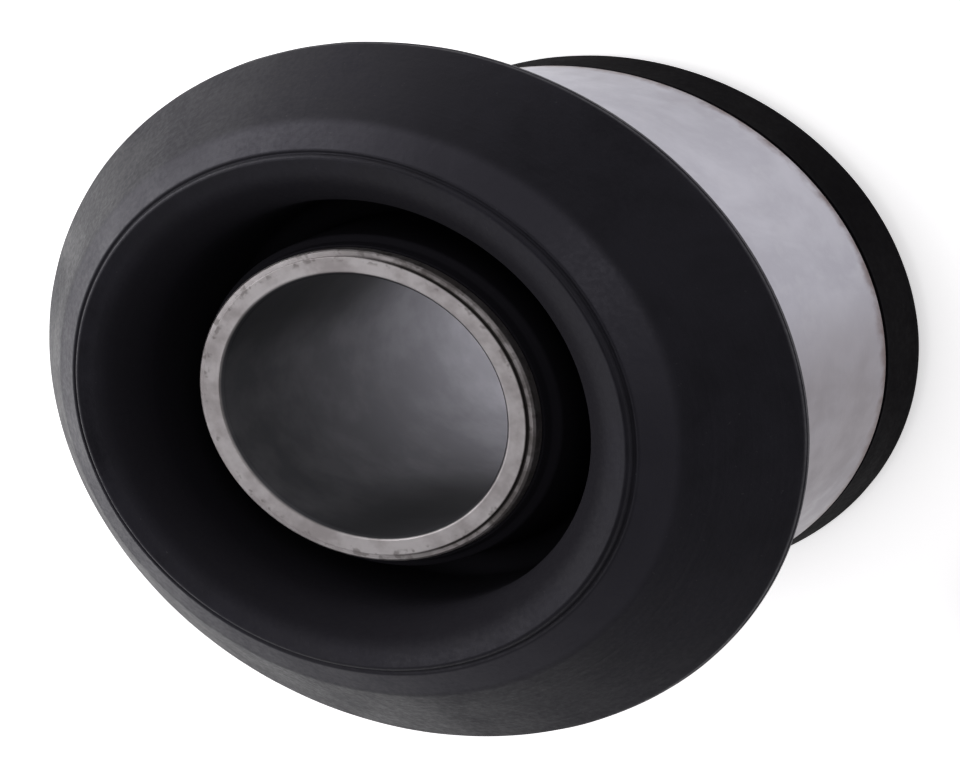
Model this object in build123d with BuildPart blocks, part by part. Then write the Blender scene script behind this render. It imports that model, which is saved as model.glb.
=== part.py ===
from build123d import *
import os
from math import pi

# Rubber-metal bush: a steel inner sleeve and a flanged steel outer sleeve,
# bonded together by one rubber moulding.  The bush stands on its far end.
# Z is its axis, Z = 0 is the far end face of the inner sleeve.  Millimetres.

# ---- inner sleeve (turned tube, bore chamfered at both ends) ----
BORE_R = 11.25
INNER_R = 13.4
INNER_LEN = 36.2
BORE_CHAMFER = 0.3
INNER_OUT_CHAMFER = 0.35
REBATE_R = 12.85           # small step turned round the near end face
REBATE_DEPTH = 0.2
REBATE_EDGE = 0.15

# ---- outer sleeve (press-fit shell with an out-turned collar) ----
SHELL_R = 23.0
SHELL_ID_R = 21.0
SHELL_Z0 = 6.0             # far end of the shell, where the rubber lip starts
COLLAR_Z0 = 26.4           # face that seats on the housing
COLLAR_Z1 = 28.4
COLLAR_R = 26.5
SHELL_LEAD = 0.4           # small lead-in at the far end
COLLAR_SEAT_R = 0.6        # inside corner between shell and collar
COLLAR_BEND_R = 2.2        # rolled bend on the rubber side

# ---- rubber flange, near end ----
RIM_R = 30.0
RIM_Z0 = 30.1              # the rim has a narrow upright land
RIM_Z1 = 30.7
KINK_R, KINK_Z = 24.8, 37.0        # steep cone meets the flatter shoulder
SHOULDER_R, SHOULDER_Z = 22.5, 38.78
GROOVE_R, GROOVE_Z = 22.2, 38.68   # fine groove round the lip
CREST_R, CREST_Z = 21.95, 39.25    # the lip's crest; its top slopes inwards
LIP_R_IN, LIP_Z_IN = 17.8, 38.2    # corner of the lip's top and the recess wall,
LIP_ROUND = 4.0                    # broadly rounded

# ---- deep annular recess between the raised lip and the inner sleeve ----
RECESS_Z = 25.8
RECESS_R_IN, RECESS_R_OUT = 14.7, 16.9
SKIN_R, SKIN_Z = 14.3, 34.0        # rubber that climbs the inner sleeve
FEATHER_R, FEATHER_Z = 13.75, 34.4 # and thins out to a feather edge
FEATHER_TOP_R, FEATHER_TOP_Z = 13.6, 35.1

# ---- rubber lip, far end ----
END_LIP_R = 22.95
END_LIP_R_IN = 19.6
END_LIP_Z = 1.2
END_DISH_R_IN, END_DISH_R_OUT = 15.2, 17.4   # shallow dish in the rubber
END_DISH_Z = 5.0
END_SKIN_Z = 1.9


with BuildPart() as inner_sleeve:
    with BuildSketch(Plane.XZ):
        with BuildLine():
            Polyline(
                (BORE_R + BORE_CHAMFER, 0),
                (INNER_R - INNER_OUT_CHAMFER, 0),
                (INNER_R, INNER_OUT_CHAMFER),
                (INNER_R, INNER_LEN - REBATE_DEPTH - REBATE_EDGE),
                (INNER_R - REBATE_EDGE, INNER_LEN - REBATE_DEPTH),
                (REBATE_R, INNER_LEN - REBATE_DEPTH),
                (REBATE_R, INNER_LEN),
                (BORE_R + BORE_CHAMFER, INNER_LEN),
                (BORE_R, INNER_LEN - BORE_CHAMFER),
                (BORE_R, BORE_CHAMFER),
                close=True,
            )
        make_face()
    revolve(axis=Axis.Z)
inner_sleeve.part.label = "inner_sleeve"


with BuildPart() as outer_sleeve:
    with BuildSketch(Plane.XZ) as shell_profile:
        with BuildLine():
            Polyline(
                (SHELL_ID_R, SHELL_Z0),
                (SHELL_R - SHELL_LEAD, SHELL_Z0),
                (SHELL_R, SHELL_Z0 + SHELL_LEAD),
                (SHELL_R, COLLAR_Z0),
                (COLLAR_R, COLLAR_Z0),
                (COLLAR_R, COLLAR_Z1),
                (SHELL_ID_R, COLLAR_Z1),
                close=True,
            )
        make_face()
        # rolled bend on the rubber side, small radius in the seat corner
        fillet(
            shell_profile.vertices().sort_by_distance((SHELL_ID_R, COLLAR_Z1, 0))[0],
            radius=COLLAR_BEND_R,
        )
        fillet(
            shell_profile.vertices().sort_by_distance((SHELL_R, COLLAR_Z0, 0))[0],
            radius=COLLAR_SEAT_R,
        )
        # edge of the collar slightly broken
        fillet(
            shell_profile.vertices().sort_by_distance((COLLAR_R, COLLAR_Z0, 0))[0],
            radius=0.25,
        )
    revolve(axis=Axis.Z)
outer_sleeve.part.label = "outer_sleeve"


def corner(sketch, r, z, radius):
    """Round the profile's corner nearest to (r, z)."""
    fillet(sketch.vertices().sort_by_distance((r, z, 0))[0], radius=radius)


with BuildPart() as rubber_body:
    with BuildSketch(Plane.XZ) as moulding:
        with BuildLine():
            Polyline(
                # far end, from the inner sleeve outwards
                (INNER_R, END_SKIN_Z),
                (SKIN_R, END_SKIN_Z),
                (END_DISH_R_IN, END_DISH_Z),
                (END_DISH_R_OUT, END_DISH_Z),
                (END_LIP_R_IN, END_LIP_Z),
                (END_LIP_R, END_LIP_Z),
                (END_LIP_R, SHELL_Z0),
                # along the shell and the collar (the steel is cut out below)
                (SHELL_R - 1.0, SHELL_Z0),
                (SHELL_R - 1.0, COLLAR_Z0 + 0.6),
                (COLLAR_R + 0.5, COLLAR_Z0 + 0.6),
                # underside of the flange, rim, cone, shoulder
                (RIM_R - 0.35, RIM_Z0 - 0.35),
                (RIM_R, RIM_Z0),
                (RIM_R, RIM_Z1),
                (KINK_R, KINK_Z),
                (SHOULDER_R, SHOULDER_Z),
                (GROOVE_R, GROOVE_Z),
                # raised lip
                (CREST_R, CREST_Z),
                (LIP_R_IN, LIP_Z_IN),
                # deep recess, its far wall and the skin on the sleeve
                (RECESS_R_OUT, RECESS_Z),
                (RECESS_R_IN, RECESS_Z),
                (SKIN_R, SKIN_Z),
                (FEATHER_R, FEATHER_Z),
                (FEATHER_TOP_R, FEATHER_TOP_Z),
                (INNER_R, FEATHER_TOP_Z),
                close=True,
            )
        make_face()
        corner(moulding, SKIN_R, END_SKIN_Z, 0.35)
        corner(moulding, END_DISH_R_IN, END_DISH_Z, 0.8)
        corner(moulding, END_DISH_R_OUT, END_DISH_Z, 1.2)
        corner(moulding, END_LIP_R_IN, END_LIP_Z, 0.9)
        corner(moulding, END_LIP_R, END_LIP_Z, 0.6)
        corner(moulding, RIM_R - 0.35, RIM_Z0 - 0.35, 0.3)
        corner(moulding, RIM_R, RIM_Z1, 0.35)
        corner(moulding, KINK_R, KINK_Z, 2.0)
        corner(moulding, SHOULDER_R, SHOULDER_Z, 0.25)
        corner(moulding, GROOVE_R, GROOVE_Z, 0.12)
        corner(moulding, CREST_R, CREST_Z, 0.3)
        corner(moulding, LIP_R_IN, LIP_Z_IN, LIP_ROUND)
        corner(moulding, RECESS_R_OUT, RECESS_Z, 1.05)
        corner(moulding, RECESS_R_IN, RECESS_Z, 0.95)
        corner(moulding, SKIN_R, SKIN_Z, 0.4)
        corner(moulding, FEATHER_R, FEATHER_Z, 0.3)
    revolve(axis=Axis.Z)
    # the moulding fits round the steel shell and its collar face to face
    add(outer_sleeve.part, mode=Mode.SUBTRACT)
rubber_body.part.label = "rubber_body"


os.makedirs("parts", exist_ok=True)
export_step(inner_sleeve.part, "parts/inner_sleeve.step")
export_step(outer_sleeve.part, "parts/outer_sleeve.step")
export_step(rubber_body.part, "parts/rubber_body.step")

for piece in (inner_sleeve, outer_sleeve, rubber_body):
    box = piece.part.bounding_box()
    print(
        piece.part.label,
        "volume %.1f mm3" % piece.part.volume,
        "size %.2f x %.2f x %.2f mm" % (box.size.X, box.size.Y, box.size.Z),
    )
print("bore area %.1f mm2" % (pi * BORE_R**2))
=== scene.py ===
import math

import bmesh
import bpy
from mathutils import Matrix, Vector, noise


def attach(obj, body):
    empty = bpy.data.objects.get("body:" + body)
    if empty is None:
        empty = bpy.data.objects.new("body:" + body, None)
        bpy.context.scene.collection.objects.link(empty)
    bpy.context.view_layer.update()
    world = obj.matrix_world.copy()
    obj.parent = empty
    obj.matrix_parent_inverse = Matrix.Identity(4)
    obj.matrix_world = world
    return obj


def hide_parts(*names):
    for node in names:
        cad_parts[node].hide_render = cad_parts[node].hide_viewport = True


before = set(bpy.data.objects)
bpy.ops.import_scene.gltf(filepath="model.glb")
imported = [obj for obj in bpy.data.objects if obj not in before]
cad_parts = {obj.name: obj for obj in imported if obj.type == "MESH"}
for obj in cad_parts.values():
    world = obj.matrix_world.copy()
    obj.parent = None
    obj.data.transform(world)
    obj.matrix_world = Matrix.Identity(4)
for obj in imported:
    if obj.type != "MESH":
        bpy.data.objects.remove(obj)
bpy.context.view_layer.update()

MM = 0.001

bpy.context.scene.view_settings.view_transform = "Standard"
bpy.context.scene.view_settings.look = "None"


# ---------------------------------------------------------------- camera
# The photograph is stretched sideways by about a quarter: its circles are
# round coaxial circles only in an oblique view.  The part stays round, and the
# camera stands where the photograph's did, with the sideways lean of that
# oblique view in its parent's matrix.  The image is taken to be 960 x 777.
IMAGE_W, IMAGE_H = 960.0, 777.0
TILT, TURN = 1.18238, 2.90503        # direction of the bush's axis in the view
DIST = 400.0                         # mm from the camera's plane to the flange rim
PX_PER_MM = 11.8687                  # scale at that plane
AIM_X, AIM_Y = 402.93, 390.79        # where the rim's centre lands in the image
EYE_X, EYE_Y = -3010.2, 263.5        # where the camera's axis meets the image
AIM_HEIGHT = 30.5                    # height of the rim above the floor, mm


def add_camera():
    axis = Vector((math.sin(TILT) * math.cos(TURN), -math.sin(TILT) * math.sin(TURN), math.cos(TILT)))
    focal = PX_PER_MM * DIST
    centre_ray = Vector(((IMAGE_W / 2 - EYE_X) / focal, -(IMAGE_H / 2 - EYE_Y) / focal, -1.0))
    # the camera stands on the -Y side of the part
    to_eye = -centre_ray.normalized()
    y_axis = -(to_eye - axis * to_eye.dot(axis)).normalized()
    x_axis = y_axis.cross(axis)
    cam_x = Vector((x_axis.x, y_axis.x, axis.x))
    cam_y = Vector((x_axis.y, y_axis.y, axis.y))
    cam_z = Vector((x_axis.z, y_axis.z, axis.z))
    off_x = (AIM_X - EYE_X) / PX_PER_MM
    off_y = -(AIM_Y - EYE_Y) / PX_PER_MM
    place = Vector((0, 0, AIM_HEIGHT)) - (cam_x * off_x + cam_y * off_y - cam_z * DIST)
    back = -(cam_x * centre_ray.x + cam_y * centre_ray.y + cam_z * centre_ray.z) / centre_ray.length
    data = bpy.data.cameras.new("photo_camera")
    data.sensor_width = 36.0
    data.lens = 36.0 * focal * centre_ray.length / IMAGE_W
    data.clip_start = 0.01
    data.clip_end = 50.0
    camera = bpy.data.objects.new("photo_camera", data)
    holder = bpy.data.objects.new("photo_camera_holder", None)
    bpy.context.scene.collection.objects.link(holder)
    bpy.context.scene.collection.objects.link(camera)
    camera.parent = holder
    camera.matrix_parent_inverse = Matrix((
        (cam_x.x, cam_y.x, back.x, place.x * MM),
        (cam_x.y, cam_y.y, back.y, place.y * MM),
        (cam_x.z, cam_y.z, back.z, place.z * MM),
        (0.0, 0.0, 0.0, 1.0),
    ))
    bpy.context.scene.camera = camera
    return camera


add_camera()


# ---------------------------------------------------------------- meshes
def rounded(corners, arc_step=10.0, run_step=0.4):
    """A closed outline in mm from corners (r, z, radius).  A corner with a
    radius becomes an arc, and long straight runs are divided."""
    n = len(corners)
    line = []
    for i, (r, z, radius) in enumerate(corners):
        p = Vector((r, z))
        if radius <= 0:
            line.append(p)
            continue
        u = (Vector(corners[i - 1][:2]) - p).normalized()
        v = (Vector(corners[(i + 1) % n][:2]) - p).normalized()
        half = u.angle(v) / 2
        run = radius / math.tan(half)
        centre = p + (u + v).normalized() * (radius / math.sin(half))
        start = p + u * run - centre
        end = p + v * run - centre
        a0 = math.atan2(start.y, start.x)
        sweep = math.atan2(end.y, end.x) - a0
        sweep = (sweep + math.pi) % (2 * math.pi) - math.pi
        steps = max(4, math.ceil(abs(math.degrees(sweep)) / arc_step))
        for k in range(steps + 1):
            a = a0 + sweep * k / steps
            line.append(centre + Vector((math.cos(a), math.sin(a))) * radius)
    out = []
    for i, p in enumerate(line):
        q = line[(i + 1) % len(line)]
        out.append(p)
        gap = (q - p).length
        if gap > run_step * 0.75:
            near = min(0.05, gap * 0.1)
            parts = max(1, math.ceil((gap - 2 * near) / run_step))
            for k in range(parts + 1):
                out.append(p + (q - p) * ((near + (gap - 2 * near) * k / parts) / gap))
    return [(v.x, v.y) for v in out]


def lathe(name, outline, turns, shift=None):
    """Turns a closed outline (mm) about Z.  shift(angle, r, z) gives a small
    offset (dr, dz) in mm, for surfaces that aren't perfectly round."""
    m = len(outline)
    verts, faces = [], []
    for j in range(turns):
        a = 2 * math.pi * j / turns
        ca, sa = math.cos(a), math.sin(a)
        for r, z in outline:
            if shift:
                dr, dz = shift(a, r, z)
                r, z = r + dr, z + dz
            verts.append((r * ca * MM, r * sa * MM, z * MM))
    for j in range(turns):
        k = (j + 1) % turns
        for i in range(m):
            h = (i + 1) % m
            faces.append((j * m + i, k * m + i, k * m + h, j * m + h))
    mesh = bpy.data.meshes.new(name)
    mesh.from_pydata(verts, [], faces)
    mesh.validate()
    mesh.polygons.foreach_set("use_smooth", [True] * len(mesh.polygons))
    mesh.update()
    obj = bpy.data.objects.new(name, mesh)
    bpy.context.scene.collection.objects.link(obj)
    return obj


def wander(a, r, z, size, seed):
    """Smooth noise of about -1 to 1 around the part; size is in mm."""
    p = Vector((r * math.cos(a) / size + seed, r * math.sin(a) / size, z / size))
    return noise.noise(p, noise_basis="PERLIN_ORIGINAL")


# inner sleeve: turned tube with a small step round its near end face
INNER = [
    (11.55, 0.0, 0.12), (13.05, 0.0, 0.10), (13.4, 0.35, 0.10),
    (13.4, 35.85, 0.10), (13.25, 36.0, 0.06), (12.85, 36.0, 0.05),
    (12.85, 36.2, 0.06), (11.55, 36.2, 0.12), (11.25, 35.9, 0.12),
    (11.25, 0.3, 0.12),
]

# outer sleeve: drawn shell with an out-turned collar under the flange
OUTER = [
    (21.0, 6.0, 0.0), (22.6, 6.0, 0.08), (23.0, 6.4, 0.12), (23.0, 26.4, 0.6),
    (26.5, 26.4, 0.25), (26.5, 28.4, 0.0), (21.0, 28.4, 2.2),
]

# rubber: one moulding between and around the two sleeves
RUBBER = [
    (13.4, 1.9, 0.0), (14.3, 1.9, 0.35), (15.2, 5.0, 0.8), (17.4, 5.0, 1.2),
    (19.6, 1.2, 0.9), (22.95, 1.2, 0.6), (22.95, 5.99, 0.10), (20.99, 5.99, 0.0),
    (20.99, 28.41, 2.2), (26.51, 28.41, 0.0), (26.51, 27.02, 0.0), (27.0, 27.0, 0.15),
    (29.6, 29.7, 0.3), (29.93, 30.1, 0.10), (29.93, 30.3, 0.03), (30.0, 30.36, 0.03),
    (30.0, 30.42, 0.03), (29.93, 30.48, 0.03), (29.93, 30.72, 0.35),
    (24.8, 37.0, 2.0), (22.5, 38.78, 0.25), (22.2, 38.68, 0.12), (21.95, 39.25, 0.3),
    (17.8, 38.2, 4.0), (16.9, 25.8, 1.05), (14.7, 25.8, 0.95),
    (14.3, 34.0, 0.4), (13.75, 34.4, 0.3), (13.6, 35.1, 0.06), (13.4, 35.1, 0.0),
]


def rubber_shift(a, r, z):
    if r < 13.5 or (20.9 < r < 26.6 and 5.9 < z < 28.5):
        return 0.0, 0.0                      # bonded to steel
    dr = 0.035 * wander(a, r, z, 9.0, 3.1) + 0.012 * wander(a, r, z, 2.6, 8.4)
    dz = -0.05 * abs(wander(a, r, z, 11.0, 5.7))
    if r > 29.94:
        dr = -0.035 * (1 + wander(a, r, z, 3.0, 1.9))    # uneven flash line
    elif r > 22.9 and z < 6.5 or r > 29.5:
        dr = -abs(dr)
    if z < 1.6:
        dz = 0.02 + abs(dz)
    return dr, dz


inner = lathe("inner_tube", rounded(INNER, run_step=1.2), 288)
outer = lathe("outer_shell", rounded(OUTER, run_step=1.2), 288)
rubber = lathe("rubber_moulding", rounded(RUBBER, run_step=1.0), 288, rubber_shift)

for piece, node, slot in (
    (inner, "inner_sleeve", "inner_steel"),
    (outer, "outer_sleeve", "outer_steel"),
    (rubber, "rubber_body", "rubber"),
):
    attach(piece, "root")
    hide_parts(node)


# ---------------------------------------------------------------- materials
class Nodes:
    """A short way to write a node tree."""

    def __init__(self, name):
        self.mat = bpy.data.materials.new(name)
        self.mat.use_nodes = True
        self.tree = self.mat.node_tree
        self.tree.nodes.clear()
        self.out = self.tree.nodes.new("ShaderNodeOutputMaterial")
        self.bsdf = self.tree.nodes.new("ShaderNodeBsdfPrincipled")
        self.link(self.bsdf.outputs[0], self.out.inputs["Surface"])
        self.coord = self.tree.nodes.new("ShaderNodeTexCoord").outputs["Object"]
        xyz = self.add("ShaderNodeSeparateXYZ", {"Vector": self.coord})
        self.x, self.y, self.z = xyz.outputs
        self.r = self.math("SQRT", self.math("ADD", self.math("MULTIPLY", self.x, self.x),
                                             self.math("MULTIPLY", self.y, self.y)))

    def link(self, a, b):
        self.tree.links.new(a, b)

    def put(self, socket, value):
        if isinstance(value, bpy.types.NodeSocket):
            self.link(value, socket)
        else:
            socket.default_value = value

    def add(self, kind, inputs=None, **props):
        node = self.tree.nodes.new(kind)
        for k, v in props.items():
            setattr(node, k, v)
        for k, v in (inputs or {}).items():
            self.put(node.inputs[k], v)
        return node

    def math(self, op, a, b=None, clamp=False):
        node = self.add("ShaderNodeMath", operation=op, use_clamp=clamp)
        self.put(node.inputs[0], a)
        if b is not None:
            self.put(node.inputs[1], b)
        return node.outputs[0]

    def ramp(self, value, lo, hi, to_lo=0.0, to_hi=1.0, smooth=True):
        node = self.add("ShaderNodeMapRange", {"Value": value, "From Min": lo, "From Max": hi,
                                               "To Min": to_lo, "To Max": to_hi})
        node.interpolation_type = "SMOOTHSTEP" if smooth else "LINEAR"
        return node.outputs["Result"]

    def noise(self, scale, detail=3.0, rough=0.5, vector=None, distort=0.0):
        node = self.add("ShaderNodeTexNoise", {"Vector": vector or self.coord, "Scale": scale,
                                               "Detail": detail, "Roughness": rough,
                                               "Distortion": distort})
        return node.outputs["Fac"]

    def mix(self, fac, a, b):
        node = self.add("ShaderNodeMix", data_type="RGBA")
        self.put(node.inputs["Factor"], fac)
        self.put(node.inputs[6], a)
        self.put(node.inputs[7], b)
        return node.outputs[2]

    def bump(self, height, strength, distance, normal=None):
        node = self.add("ShaderNodeBump", {"Height": height, "Strength": strength,
                                           "Distance": distance})
        if normal is not None:
            self.link(normal, node.inputs["Normal"])
        return node.outputs["Normal"]

    def set(self, **inputs):
        for k, v in inputs.items():
            self.put(self.bsdf.inputs[k.replace("_", " ")], v)


def rgba(r, g, b):
    return (r, g, b, 1.0)


def rubber_material():
    n = Nodes("moulded_rubber")
    cloud = n.noise(150, 5, 0.6, distort=0.4)
    patch = n.noise(62, 3, 0.5)
    grain = n.noise(2600, 3, 0.6)
    # turned marks that the mould left in the rubber, all round
    rings = n.add("ShaderNodeCombineXYZ", {"X": n.math("MULTIPLY", n.r, 2600.0),
                                           "Y": n.math("MULTIPLY", n.z, 2600.0), "Z": 0.0}).outputs[0]
    turned = n.noise(1.0, 2, 0.5, rings)
    # duller down in the recess and on the skin round the sleeve; painted shade on the far lip, which is made blacker
    # and hardly reflecting
    inside = n.ramp(n.r, 0.0187, 0.0214, 1.0, 0.0)
    skin = n.ramp(n.r, 0.0145, 0.0150, 1.0, 0.0)
    far = n.ramp(n.z, 0.0055, 0.0075, 1.0, 0.0)
    dull = n.math("MAXIMUM", inside, skin)
    # painted highlight on the shoulder: lighter colour and stronger reflection than the cone round it; painted shade
    # on the cone: darker, with weaker reflection
    outward = n.ramp(n.r, 0.0243, 0.0251, 0.0, 1.0)
    painted_shoulder_light = n.math("MULTIPLY", n.math("SUBTRACT", n.ramp(n.r, 0.0224, 0.0227, 0.0, 1.0), outward),
                      n.ramp(n.z, 0.0355, 0.0365, 0.0, 1.0))
    painted_cone_shade = n.math("MULTIPLY", outward, n.ramp(n.z, 0.0300, 0.0306, 0.0, 1.0))
    # bloom in soft patches, and a few specks of dust
    bloom = n.math("MULTIPLY", n.ramp(cloud, 0.36, 0.66), n.ramp(patch, 0.30, 0.66, 0.45, 1.0))
    colour = n.mix(bloom, rgba(0.0073, 0.0068, 0.0104), rgba(0.0165, 0.0155, 0.0232))
    speck = n.math("MULTIPLY", n.ramp(n.noise(3400, 1, 0.5), 0.735, 0.80), n.ramp(cloud, 0.45, 0.6))
    colour = n.mix(n.math("MULTIPLY", speck, 0.6), colour, rgba(0.075, 0.072, 0.076))
    # painted highlight: the shoulder is made lighter
    colour = n.mix(n.math("MULTIPLY", painted_shoulder_light, 0.65), colour, rgba(0.0250, 0.0235, 0.0325))
    # painted shade: the cone is made darker
    colour = n.mix(n.math("MULTIPLY", painted_cone_shade, 0.40), colour, rgba(0.0062, 0.0058, 0.0086))
    colour = n.mix(dull, colour, rgba(0.0190, 0.0177, 0.0226))
    # painted shade: the far lip is made near black
    n.set(Base_Color=n.mix(far, colour, rgba(0.0030, 0.0026, 0.0031)))
    rough = n.math("ADD", n.ramp(cloud, 0.3, 0.7, 0.43, 0.55), n.ramp(grain, 0.3, 0.7, -0.05, 0.06))
    rough = n.math("ADD", rough, n.ramp(patch, 0.3, 0.7, -0.03, 0.04))
    n.set(Roughness=n.math("ADD", rough, n.math("MULTIPLY", n.math("MAXIMUM", dull, far), 0.3)))
    n.set(IOR=1.43)
    # specular level: cut in the recess; cut on the far lip as painted shade; raised on the shoulder as a painted
    # highlight; lowered on the cone as painted shade
    sheen = n.math("ADD", n.ramp(dull, 0.0, 1.0, 0.5, 0.12), n.math("MULTIPLY", painted_shoulder_light, 0.22))
    sheen = n.math("SUBTRACT", sheen, n.math("MULTIPLY", painted_cone_shade, 0.12))
    n.set(Specular_IOR_Level=n.math("MULTIPLY", sheen,
                                    n.ramp(far, 0.0, 1.0, 1.0, 0.1)))
    n.set(Specular_Tint=rgba(0.90, 0.865, 1.0))
    fine = n.bump(grain, 0.26, 0.00006)
    marks = n.bump(turned, 0.22, 0.00005, fine)
    broad = n.bump(n.noise(420, 2, 0.5), 0.28, 0.00014, marks)
    n.set(Normal=broad)
    return n.mat


def inner_material():
    n = Nodes("turned_steel")
    # rings from the lathe on the end faces, long drawn lines in the bore
    rings = n.add("ShaderNodeCombineXYZ", {"X": n.math("MULTIPLY", n.r, 9000.0),
                                           "Y": n.math("MULTIPLY", n.z, 60.0), "Z": 0.0}).outputs[0]
    turned = n.noise(1.0, 3, 0.6, rings)
    cloud = n.noise(240, 4, 0.6)
    blotch = n.noise(520, 3, 0.6)
    # dull grey inside the bore, with painted light and shade: lighter deep down, darker towards its mouth
    bore = n.ramp(n.r, 0.01140, 0.01155, 1.0, 0.0)
    depth = n.ramp(n.z, 0.004, 0.032, 0.0, 1.0, smooth=False)
    # painted shade: a still darker colour reaches deeper into the bore on two opposite sides, strongest towards the
    # mouth
    sides = n.math("DIVIDE", n.math("ABSOLUTE", n.x), n.r)
    bore_side_shade = n.math("MULTIPLY", n.ramp(sides, 0.50, 0.88, 0.0, 0.85), n.ramp(n.z, 0.009, 0.023, 0.0, 1.0))
    face = n.mix(n.ramp(n.math("MULTIPLY", n.math("ADD", cloud, blotch), 0.5), 0.38, 0.62), rgba(0.43, 0.393, 0.402), rgba(0.62, 0.583, 0.597))
    # small nicks along the outer edge of the end face
    nick = n.math("MULTIPLY", n.ramp(n.noise(1150, 2, 0.6), 0.55, 0.66),
                  n.math("MULTIPLY", n.ramp(n.r, 0.01225, 0.01260, 0.0, 1.0), n.ramp(n.z, 0.0340, 0.0350, 0.0, 1.0)))
    face = n.mix(n.math("MULTIPLY", nick, 0.55), face, rgba(0.17, 0.15, 0.145))
    painted_deep_light = n.mix(n.ramp(cloud, 0.35, 0.7), rgba(0.39, 0.385, 0.42), rgba(0.48, 0.475, 0.515))
    painted_mouth_shade = n.mix(n.ramp(cloud, 0.35, 0.7), rgba(0.085, 0.085, 0.096), rgba(0.13, 0.127, 0.14))
    # remains of bonding primer on the step round the face and on the outside, laid only on the side towards -Y, where
    # the darker tone is painted shade
    shade_side = n.math("DIVIDE", n.math("SUBTRACT", n.math("MULTIPLY", n.x, -0.342), n.math("MULTIPLY", n.y, 0.940)), n.r)
    primer = n.math("MULTIPLY", n.ramp(n.r, 0.01283, 0.01289, 0.0, 1.0),
                    n.math("MULTIPLY", n.ramp(shade_side, -0.35, 0.6, 0.0, 0.8), n.ramp(blotch, 0.40, 0.60, 0.25, 1.0)))
    # painted shade: dark line in the corner of the step, on the side towards -Y
    corner_shade = n.math("MULTIPLY", n.ramp(n.r, 0.01270, 0.01283, 0.0, 1.0), n.ramp(n.r, 0.01292, 0.01302, 1.0, 0.0))
    corner_shade = n.math("MULTIPLY", corner_shade, n.ramp(shade_side, -0.1, 0.5, 0.0, 0.9))
    steel = n.mix(primer, face, rgba(0.13, 0.112, 0.108))
    steel = n.mix(corner_shade, steel, rgba(0.045, 0.038, 0.036))
    n.set(Base_Color=n.mix(bore, steel, n.mix(bore_side_shade, n.mix(depth, painted_deep_light, painted_mouth_shade), rgba(0.030, 0.030, 0.034))))
    n.set(Metallic=n.math("SUBTRACT", n.ramp(bore, 0.0, 1.0, 1.0, 0.2), n.math("MULTIPLY", primer, 0.5)))
    rough = n.math("ADD", n.ramp(turned, 0.3, 0.7, 0.36, 0.48), n.math("MULTIPLY", bore, 0.25))
    n.set(Roughness=n.math("ADD", rough, n.math("MULTIPLY", primer, 0.2)))
    n.set(Specular_IOR_Level=n.ramp(bore, 0.0, 1.0, 0.5, 0.2))
    n.set(Normal=n.bump(turned, 0.3, 0.00002))
    return n.mat


def outer_material():
    n = Nodes("plated_steel")
    n.set(Metallic=1.0)
    cloud = n.noise(120, 5, 0.62, distort=0.5)
    mottle = n.noise(480, 4, 0.6)
    colour = n.mix(n.ramp(cloud, 0.36, 0.66), rgba(0.335, 0.328, 0.370), rgba(0.405, 0.398, 0.443))
    colour = n.mix(n.ramp(mottle, 0.50, 0.70, 0.0, 0.24), colour, rgba(0.50, 0.49, 0.53))
    # faint stains, and a brown edge of bonding primer beside the far lip
    stain_and_shade = n.math("MULTIPLY", n.ramp(n.noise(75, 4, 0.65), 0.56, 0.70), 0.2)
    # painted shade: one side of the shell is made darker, folded into the stains
    side = n.math("DIVIDE", n.math("SUBTRACT", n.math("MULTIPLY", n.x, -0.788), n.math("MULTIPLY", n.y, 0.616)), n.r)
    stain_and_shade = n.math("MAXIMUM", stain_and_shade, n.math("MULTIPLY", n.ramp(side, 0.70, 0.97, 0.0, 0.80), n.ramp(cloud, 0.3, 0.6, 0.7, 1.0)))
    colour = n.mix(stain_and_shade, colour, rgba(0.215, 0.195, 0.205))
    ragged = n.math("ADD", n.z, n.ramp(n.noise(600, 3, 0.6), 0.3, 0.7, -0.0003, 0.0003))
    primer = n.ramp(ragged, 0.0061, 0.0074, 1.0, 0.0)
    n.set(Base_Color=n.mix(n.math("MULTIPLY", primer, 0.85), colour, rgba(0.110, 0.070, 0.064)))
    n.set(Roughness=n.math("ADD", n.ramp(cloud, 0.3, 0.7, 0.34, 0.42), n.ramp(mottle, 0.3, 0.7, -0.05, 0.06)))
    # lines drawn round the shell, and small dents of the plating
    lines = n.add("ShaderNodeCombineXYZ", {"X": n.math("MULTIPLY", n.x, 60.0), "Y": n.math("MULTIPLY", n.y, 60.0),
                                           "Z": n.math("MULTIPLY", n.z, 5200.0)}).outputs[0]
    drawn = n.bump(n.noise(1.0, 3, 0.6, lines), 0.16, 0.00003)
    n.set(Normal=n.bump(mottle, 0.18, 0.00010, drawn))
    return n.mat


for piece, material in ((inner, inner_material()), (outer, outer_material()), (rubber, rubber_material())):
    piece.data.materials.append(material)


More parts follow.
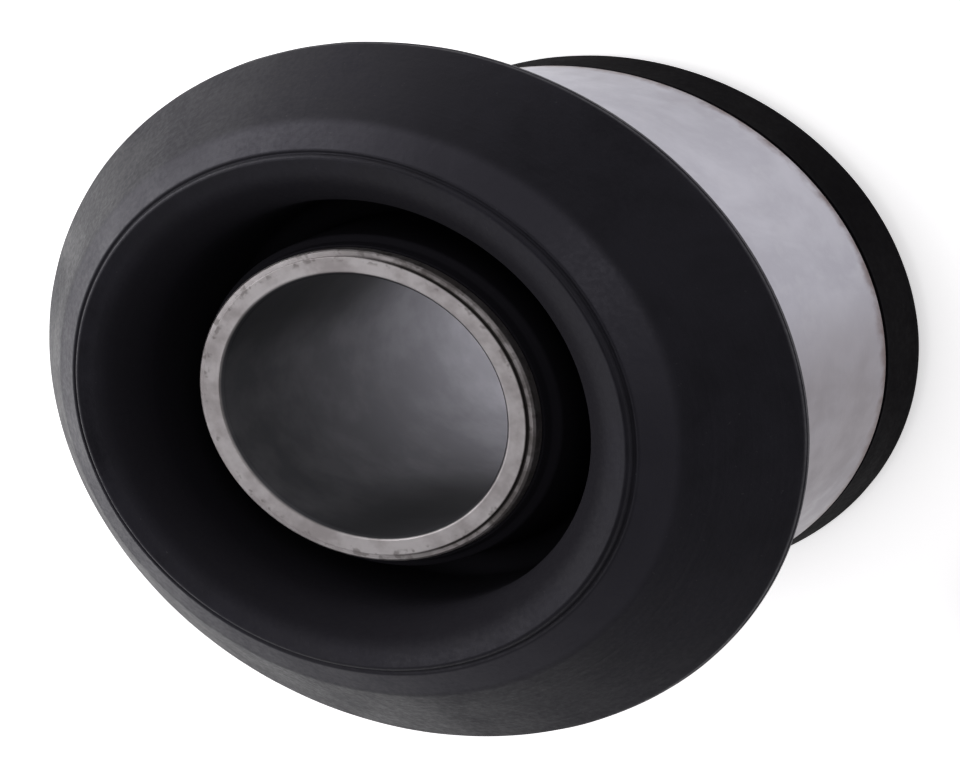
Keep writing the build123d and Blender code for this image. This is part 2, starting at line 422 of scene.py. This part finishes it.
# ---------------------------------------------------------------- studio
def floor():
    """A light table: pale paper, lit from below round the part, so that the background stays white.  It fades
    outwards, and close round the part ambient occlusion dims its glow, a painted contact shadow."""
    mesh = bpy.data.meshes.new("studio_floor")
    s = 6.0
    mesh.from_pydata([(-s, -s, 0), (s, -s, 0), (s, s, 0), (-s, s, 0)], [], [(0, 1, 2, 3)])
    obj = bpy.data.objects.new("studio_floor", mesh)
    bpy.context.scene.collection.objects.link(obj)
    mat = bpy.data.materials.new("studio_light_table")
    mat.use_nodes = True
    nodes, links = mat.node_tree.nodes, mat.node_tree.links
    b = nodes["Principled BSDF"]
    b.inputs["Base Color"].default_value = (0.86, 0.86, 0.86, 1)
    b.inputs["Roughness"].default_value = 0.9
    b.inputs["Specular IOR Level"].default_value = 0.1
    b.inputs["Emission Color"].default_value = (1.0, 0.99, 1.0, 1)
    where = nodes.new("ShaderNodeTexCoord").outputs["Object"]

    def vec(op, a, value=None):
        node = nodes.new("ShaderNodeVectorMath")
        node.operation = op
        links.new(a, node.inputs[0])
        if value:
            node.inputs[1].default_value = value
        return node.outputs["Value"]

    def ramp(value, lo, hi, to_lo, to_hi):
        node = nodes.new("ShaderNodeMapRange")
        node.interpolation_type = "SMOOTHSTEP"
        for key, v in {"From Min": lo, "From Max": hi, "To Min": to_lo, "To Max": to_hi}.items():
            node.inputs[key].default_value = v
        links.new(value, node.inputs["Value"])
        return node.outputs["Result"]

    def math2(op, a, b):
        node = nodes.new("ShaderNodeMath")
        node.operation = op
        links.new(a, node.inputs[0])
        links.new(b, node.inputs[1])
        return node.outputs[0]

    # stronger under the side that is up and left in the photograph
    glow = ramp(vec("DOT_PRODUCT", where, (0.93, 0.37, 0.0)), -0.05, 0.06, 0.82, 1.10)
    radius = vec("LENGTH", where)
    glow = math2("MULTIPLY", glow, ramp(radius, 0.11, 0.60, 1.0, 0.22))
    glow = math2("MULTIPLY", glow, ramp(radius, 0.050, 0.130, 1.0, 0.50))
    # brighter again on the far side, where the shoulder's left side mirrors it
    far_side = math2("DIVIDE", vec("DOT_PRODUCT", where, (0.42, 0.907, 0.0)), radius)
    far_side = math2("MULTIPLY", ramp(far_side, 0.55, 0.95, 0.0, 2.0), ramp(radius, 0.13, 0.28, 0.0, 1.0))
    glow = math2("ADD", glow, math2("MULTIPLY", far_side, ramp(radius, 0.50, 1.80, 1.0, 0.0)))
    # painted soft shadows: the glow is dimmed in wedges on the sides away from the light
    for way, depth, start, end in (((-0.743, -0.669, 0.0), 0.82, 0.027, 0.036),
                                   ((0.819, -0.574, 0.0), 0.80, 0.020, 0.030)):
        painted_shadow = math2("DIVIDE", vec("DOT_PRODUCT", where, way), radius)
        painted_shadow = math2("MULTIPLY", ramp(painted_shadow, 0.85, 0.99, 0.0, 1.0), ramp(radius, start, end, 0.0, 1.0))
        glow = math2("MULTIPLY", glow, ramp(painted_shadow, 0.0, 1.0, 1.0, depth))
    # painted contact shadow: ambient occlusion dims the glow near the part
    contact_shadow = nodes.new("ShaderNodeAmbientOcclusion")
    contact_shadow.samples = 8
    contact_shadow.inputs["Distance"].default_value = 0.018
    shade = ramp(contact_shadow.outputs["AO"], 0.20, 0.85, 0.60, 1.0)
    inside = ramp(radius, 0.0118, 0.0126, 1.0, 0.0)       # the bore has its own light
    links.new(math2("MULTIPLY", glow, math2("MAXIMUM", shade, inside)), b.inputs["Emission Strength"])
    mesh.materials.append(mat)
    return obj


floor()


def softbox(name, place, target, size, strength, colour=(1, 1, 1)):
    data = bpy.data.lights.new(name, "AREA")
    data.shape = "RECTANGLE"
    data.size, data.size_y = size
    data.energy = strength * math.pi * size[0] * size[1]      # strength is the face's radiance
    data.color = colour
    light = bpy.data.objects.new(name, data)
    light.location = place
    light.rotation_mode = "QUATERNION"
    light.rotation_quaternion = (Vector(target) - Vector(place)).to_track_quat("-Z", "Y")
    bpy.context.scene.collection.objects.link(light)
    return light


# soft light from the side that is up and left in the photograph
softbox("side_softbox", (1.05, 0.28, 0.50), (0, 0, 0.03), (0.6, 0.50), 1.3)
# the softbox that the flat end of the inner sleeve mirrors into the camera
softbox("far_softbox", (0.0, 0.60, 0.88), (0, 0, 0.04), (0.55, 0.55), 0.15)
# low, wide light behind the part, for the lip's inner slope
softbox("low_softbox", (0.88, 0.80, 0.27), (0, 0, 0.04), (1.3, 0.50), 1.2)
# small, higher one, for the line of light along the lip's crest
softbox("high_softbox", (0.385, 0.593, 0.88), (0, 0, 0.04), (0.36, 0.36), 2.6)
# faint fill from the near side, for the shoulder
softbox("near_softbox", (0.122, -0.69, 0.80), (0, 0, 0.04), (0.50, 0.30), 1.8)

# room: dim behind the camera and overhead, brighter on the far side
world = bpy.data.worlds.new("studio_world")
bpy.context.scene.world = world
world.use_nodes = True
wt = world.node_tree
background = wt.nodes["Background"]
coord = wt.nodes.new("ShaderNodeTexCoord")
split = wt.nodes.new("ShaderNodeSeparateXYZ")
wt.links.new(coord.outputs["Generated"], split.inputs[0])


def room_ramp(value, lo, hi, to_lo, to_hi):
    node = wt.nodes.new("ShaderNodeMapRange")
    node.interpolation_type = "SMOOTHSTEP"
    for key, v in {"From Min": lo, "From Max": hi, "To Min": to_lo, "To Max": to_hi}.items():
        node.inputs[key].default_value = v
    wt.links.new(value, node.inputs["Value"])
    return node.outputs["Result"]


lean = wt.nodes.new("ShaderNodeVectorMath")
lean.operation = "DOT_PRODUCT"
lean.inputs[1].default_value = (0.45, 0.89, 0.0)
wt.links.new(coord.outputs["Generated"], lean.inputs[0])
across = room_ramp(lean.outputs["Value"], -0.5, 0.8, 0.20, 0.65)
height = room_ramp(split.outputs["Z"], 0.45, 0.95, 1.0, 0.3)
level = wt.nodes.new("ShaderNodeMath")
level.operation = "MULTIPLY"
wt.links.new(across, level.inputs[0])
wt.links.new(height, level.inputs[1])
wt.links.new(level.outputs[0], background.inputs["Strength"])
background.inputs["Color"].default_value = (1.0, 1.0, 1.0, 1)
